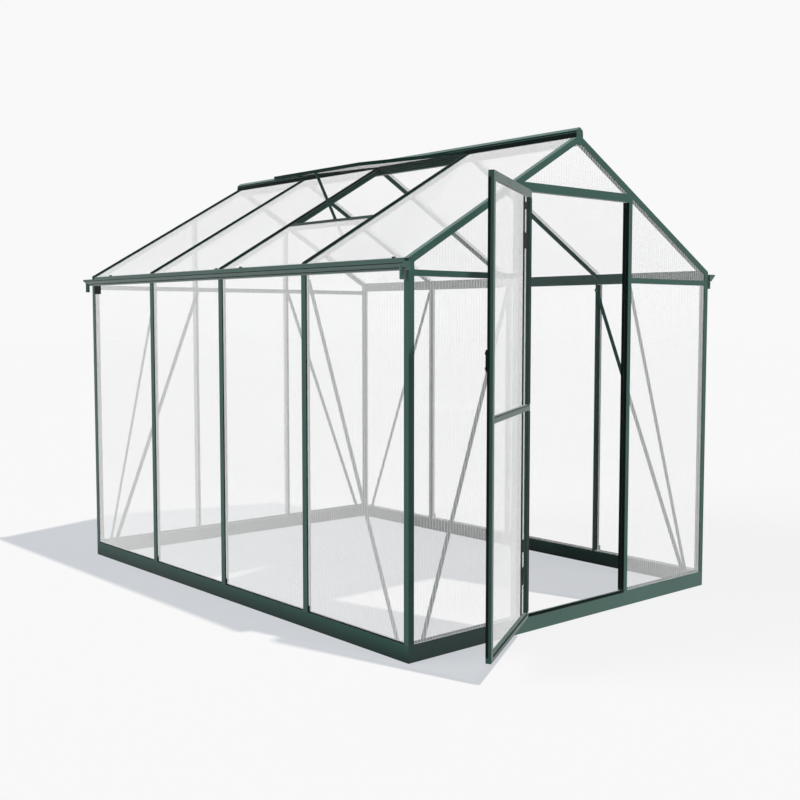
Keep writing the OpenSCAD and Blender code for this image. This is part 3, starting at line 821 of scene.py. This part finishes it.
def door_guide(door, material):
    """The strip beside the hinge stile that holds the sheets, its clips, and a dark strip on the
    stile's inner face.
    """
    stile, face = door.sheet_low.x, door.sheet_high.y
    x = stile + GUIDE_IN
    hinge_strip_x, hinge_strip_y = door.low.x + HINGE_STRIP_IN, door.high.y
    bm = bmesh.new()
    for z0, z1 in ((door.sheet_low.z, door.rail_low), (door.rail_high, door.sheet_high.z)):
        z0, z1 = z0 + GUIDE_ENDS, z1 - GUIDE_ENDS
        add_block(bm, Vector((x, face - SINK, z0)), Vector((x + GUIDE_W, face + GUIDE_T, z1)),
                  door.place)
        add_block(bm, Vector((hinge_strip_x, hinge_strip_y - SINK, z0)),
                  Vector((hinge_strip_x + HINGE_STRIP_W, hinge_strip_y + HINGE_STRIP_T, z1)), door.place)
    for z, length in GUIDE_CLIPS:
        add_block(bm, Vector((stile - GUIDE_CLIP_SINK, face - SINK, z - length / 2)),
                  Vector((x + GUIDE_CLIP_LAP, face + GUIDE_CLIP_T, z + length / 2)), door.place)
    piece("door_guide_strip", bm, "door", material)


def door_rail_seals(door, material):
    """Rubber strips on the inner faces of the middle and the bottom rail, along their tops."""
    x0, x1 = door.sheet_low.x + END_GAP, door.sheet_high.x - END_GAP
    bm = bmesh.new()
    for top, height in ((door.sheet_low.z, RAIL_SEAL_LOW_H), (door.rail_high, RAIL_SEAL_H)):
        add_block(bm, Vector((x0, door.high.y - SINK, top - height)),
                  Vector((x1, door.high.y + HINGE_STRIP_T, top)), door.place)
    piece("door_rail_seals", bm, "door", material)


def door_screws(door, material):
    """Screws that join the rails to the stiles, on the inner face."""
    low, high = door.low, door.high
    inward = door.place.to_3x3() @ Vector((0, 1, 0))
    rail = (door.rail_low + door.rail_high) / 2
    bm = bmesh.new()
    for z in (low.z + STILE_SCREW_UP, rail, high.z - STILE_SCREW_DOWN):
        for x in (low.x + STILE_SCREW_IN, high.x - STILE_SCREW_IN):
            add_screw(bm, door.place @ Vector((x, high.y, z)), inward)
    piece("door_screws", bm, "door", material)


# ---------- The look of every CAD node ----------

GREEN = solid_material(
    "green_powder_coat", (0.030, 0.084, 0.068), (0.038, 0.100, 0.082), ior=1.3, **COAT)
# Painted shade: a much darker, duller copy of the frame's green for the vent frame and sill.
VENT_GREEN_PAINTED_SHADE = solid_material(
    "green_coat_vent_painted_shade", (0.004, 0.018, 0.014), (0.008, 0.026, 0.021), (0.45, 0.60),
    COAT["grain"], COAT["depth"], ior=1.18)
# Painted light: a lighter copy of the frame's green on the gutters; the higher IOR gives them
# stronger real gloss.
GUTTER_GREEN_PAINTED_LIGHT = solid_material(
    "green_coat_gutter_painted_light", (0.034, 0.090, 0.073), (0.042, 0.106, 0.087), ior=1.45, **COAT)
# Painted shade: a darker copy of the frame's green for the door leaf's frame.
DOOR_GREEN_PAINTED_SHADE = solid_material(
    "green_coat_door_painted_shade", (0.022, 0.062, 0.050), (0.028, 0.074, 0.060), ior=1.3, **COAT)
# Painted light: a lighter copy of the frame's green on the front base rail, standing in for light
# reflected from the floor.
BASE_FRONT_GREEN_PAINTED_LIGHT = solid_material(
    "green_coat_base_front_painted_light", (0.056, 0.112, 0.094), (0.064, 0.128, 0.108), ior=1.3, **COAT)
# The side and rear base rails' green, with painted shade that darkens it towards the ground.
BASE_GREEN_PAINTED_SHADE = solid_material(
    "green_coat_base", (0.030, 0.084, 0.068), (0.038, 0.100, 0.082), ior=1.2, ground_shade_shares=BASE_PAINTED_SHADE,
    **COAT)
# Black rubber for the seals, clips and latch; the same black also paints shade into the grooves,
# the ridge's channel and beside the side posts.
RUBBER_AND_PAINTED_SHADE = solid_material(
    "black_rubber_and_painted_shade", (0.001, 0.005, 0.004), (0.003, 0.009, 0.007), (0.5, 0.7), 400, 0.06 * MM,
    ior=1.18)
FIXING = solid_material(
    "dark_fixings", (0.05, 0.07, 0.065), (0.08, 0.10, 0.095), (0.25, 0.4), 500, 0.03 * MM,
    ior=1.5)
SHEET = sheet_material("twin_wall", 0.15, 0.70)
ROOF_SHEET = sheet_material("twin_wall_roof", 0.155, 0.66, 0.945)
FRONT_SHEET = sheet_material("twin_wall_front", 0.12, 0.50, gable=GABLE_SHARES)
VENT_SHEET = sheet_material("twin_wall_vent", 0.10, 0.17)
VENT_RIB = sheet_material("twin_wall_vent_rib", 0.05, 0.09, 0.7)
DOOR_SHEET = sheet_material("twin_wall_door", 0.15, 0.52)
DOOR_RIB = sheet_material("twin_wall_door_rib", 0.15, 0.26, 0.86)
RIB = sheet_material("twin_wall_rib", 0.18, 0.30, 0.90)

# The vent and the door frame take darker copies of the green as painted shade, the side and rear
# base rails painted shade towards the ground; the front base rail and the gutters take lighter
# copies as painted light.
LOOKS = {       # all other nodes are plain green
    "sheets_left": SHEET, "sheets_right": SHEET, "sheets_rear": SHEET,
    "sheets_front": FRONT_SHEET, "roof_sheets_left": ROOF_SHEET, "roof_sheets_right": SHEET,
    "vent_sheet": VENT_SHEET, "door_sheets": DOOR_SHEET, "door_frame": DOOR_GREEN_PAINTED_SHADE,
    "door_latch": RUBBER_AND_PAINTED_SHADE, "vent_frame": VENT_GREEN_PAINTED_SHADE, "vent_sill": VENT_GREEN_PAINTED_SHADE,
    "base_front": BASE_FRONT_GREEN_PAINTED_LIGHT, "base_left": BASE_GREEN_PAINTED_SHADE, "base_right": BASE_GREEN_PAINTED_SHADE,
    "base_rear": BASE_GREEN_PAINTED_SHADE, "gutter_left": GUTTER_GREEN_PAINTED_LIGHT, "gutter_right": GUTTER_GREEN_PAINTED_LIGHT}


# ---------- Floor, light and camera ----------

def floor_material():
    """Holds the shadows; paler to the camera, plain in reflections, darker to soft light."""
    mat, nodes, links = new_material("floor")
    out = nodes.new("ShaderNodeOutputMaterial")
    path = nodes.new("ShaderNodeLightPath")
    to_camera, to_mirror = path.outputs["Is Camera Ray"], path.outputs["Is Glossy Ray"]
    pale_colour = nodes.new("ShaderNodeMix")
    pale_colour.data_type = "RGBA"
    pale_colour.inputs["A"].default_value = (*FLOOR_SEEN, 1)
    pale_colour.inputs["B"].default_value = (*FLOOR_MIRRORED, 1)
    links.new(to_mirror, pale_colour.inputs["Factor"])
    pale = nodes.new("ShaderNodeEmission")
    links.new(pale_colour.outputs["Result"], pale.inputs["Color"])
    lift = maths(nodes, links, "MULTIPLY", to_mirror, FLOOR_MIRROR_LIFT / FLOOR_LIFT)
    lift = maths(nodes, links, "MAXIMUM", to_camera, lift)
    lift = maths(nodes, links, "MULTIPLY", lift, FLOOR_LIFT)
    lit = coloured(nodes, "ShaderNodeBsdfDiffuse", FLOOR_COLOUR)
    shown = mixed(nodes, links, lift, lit, pale.outputs["Emission"])
    bounce = coloured(nodes, "ShaderNodeBsdfDiffuse", FLOOR_BOUNCE)
    seen = maths(nodes, links, "MAXIMUM", to_camera, to_mirror)
    links.new(mixed(nodes, links, seen, bounce, shown), out.inputs["Surface"])
    return mat


def make_floor():
    """A large floor just under the object."""
    bm = bmesh.new()
    bmesh.ops.create_grid(bm, x_segments=1, y_segments=1, size=FLOOR_SIZE)
    mesh = bpy.data.meshes.new("floor")
    bm.to_mesh(mesh)
    bm.free()
    mesh.materials.append(floor_material())
    floor = bpy.data.objects.new("floor", mesh)
    floor.location.z = -FLOOR_DOWN
    bpy.context.scene.collection.objects.link(floor)
    floor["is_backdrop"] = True


def make_world():
    """Soft light all round; a plain near-white backdrop to the camera and in reflections."""
    world = bpy.data.worlds.new("studio")
    bpy.context.scene.world = world
    world.use_nodes = True
    nodes, links = world.node_tree.nodes, world.node_tree.links
    nodes.clear()
    out = nodes.new("ShaderNodeOutputWorld")
    path = nodes.new("ShaderNodeLightPath")
    lit, mirrored, seen = (
        coloured(nodes, "ShaderNodeBackground", colour)
        for colour in (SKY_LIGHT, SKY_MIRRORED, SKY_SEEN))
    first = maths(nodes, links, "LESS_THAN", path.outputs["Diffuse Depth"], 0.5)
    in_mirror = maths(nodes, links, "MULTIPLY", path.outputs["Is Glossy Ray"], first)
    unseen = mixed(nodes, links, in_mirror, lit, mirrored)
    links.new(mixed(nodes, links, path.outputs["Is Camera Ray"], unseen, seen),
              out.inputs["Surface"])


def lamp(name, way, strength, spread_deg, colour):
    """A sun lamp that no surface mirrors."""
    data = bpy.data.lights.new(name, "SUN")
    data.energy = strength
    data.angle = math.radians(spread_deg)
    data.color = colour
    obj = bpy.data.objects.new(name, data)
    obj.visible_glossy = False
    obj.rotation_mode = "QUATERNION"
    obj.rotation_quaternion = way.to_track_quat("-Z", "Y")
    bpy.context.scene.collection.objects.link(obj)


def make_camera():
    """The camera at the photograph's place and viewing angle."""
    data = bpy.data.cameras.new("camera")
    data.lens = LENS_MM
    data.sensor_width = SENSOR_MM
    cam = bpy.data.objects.new("camera", data)
    cam.location = CAMERA_AT
    cam.rotation_euler = (math.radians(90 - CAMERA_DOWN), 0, math.radians(CAMERA_TURN))
    bpy.context.scene.collection.objects.link(cam)
    bpy.context.scene.camera = cam


def keep_frame_out_of_mirrors():
    """The real sheets scatter too much to mirror the frame, so only the room shows in them."""
    for obj in bpy.context.scene.objects:
        clear = "sheet" in obj.name or obj.name.startswith("flutes")
        if obj.type == "MESH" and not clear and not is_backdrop(obj):
            obj.visible_glossy = False


# ---------- Making everything ----------

for node_name, node_object in frame["nodes"].items():
    dress(node_object, LOOKS.get(node_name, GREEN))

DOOR = DoorLeaf()
ALONG, ACROSS = Vector((0, 1, 0)), Vector((1, 0, 0))
flutes("flutes_left", "sheets_left", ALONG, "house", RIB)
flutes("flutes_right", "sheets_right", ALONG, "house", RIB)
flutes("flutes_front", "sheets_front", ACROSS, "house", RIB)
flutes("flutes_rear", "sheets_rear", ACROSS, "house", RIB)
flutes("flutes_roof_left", "roof_sheets_left", ALONG, "house", RIB)
flutes("flutes_roof_right", "roof_sheets_right", ALONG, "house", RIB)
flutes("flutes_vent", "vent_sheet", ALONG, "house", VENT_RIB)
flutes("flutes_door", "door_sheets", DOOR.place.to_3x3() @ ACROSS, "door", DOOR_RIB)
roof_caps("roof_bar_caps_left", -1, RUBBER_AND_PAINTED_SHADE)
roof_caps("roof_bar_caps_right", 1, RUBBER_AND_PAINTED_SHADE)
brace_bolts(FIXING)
inner_strips(GREEN)
foot_lips(GREEN)
# the strips beside the posts are painted shade
wall_seals_and_post_shade(RUBBER_AND_PAINTED_SHADE)
eave_clips(RUBBER_AND_PAINTED_SHADE)
# painted shade in the channel under the ridge's edges
ridge_channel_shade(RUBBER_AND_PAINTED_SHADE)
threshold_seal(RUBBER_AND_PAINTED_SHADE)
dark_wall_block(RUBBER_AND_PAINTED_SHADE)
# painted shade in the ridge's grooves
ridge_groove_shade(RUBBER_AND_PAINTED_SHADE)
# painted shade in the gutters' grooves
gutter_groove_shade(RUBBER_AND_PAINTED_SHADE)
jamb_seals(RUBBER_AND_PAINTED_SHADE)
door_edge_seal(DOOR, RUBBER_AND_PAINTED_SHADE)
door_guide(DOOR, RUBBER_AND_PAINTED_SHADE)
door_rail_seals(DOOR, RUBBER_AND_PAINTED_SHADE)
door_screws(DOOR, FIXING)

make_floor()
make_world()
lamp("sun", SUN_WAY, SUN_STRENGTH, SUN_SPREAD, SUN_COLOUR)
lamp("fill", FILL_WAY, FILL_STRENGTH, FILL_SPREAD, FILL_COLOUR)
make_camera()
keep_frame_out_of_mirrors()
bpy.context.scene.view_settings.view_transform = "Standard"
bpy.context.scene.cycles.transparent_max_bounces = CLEAR_BOUNCES
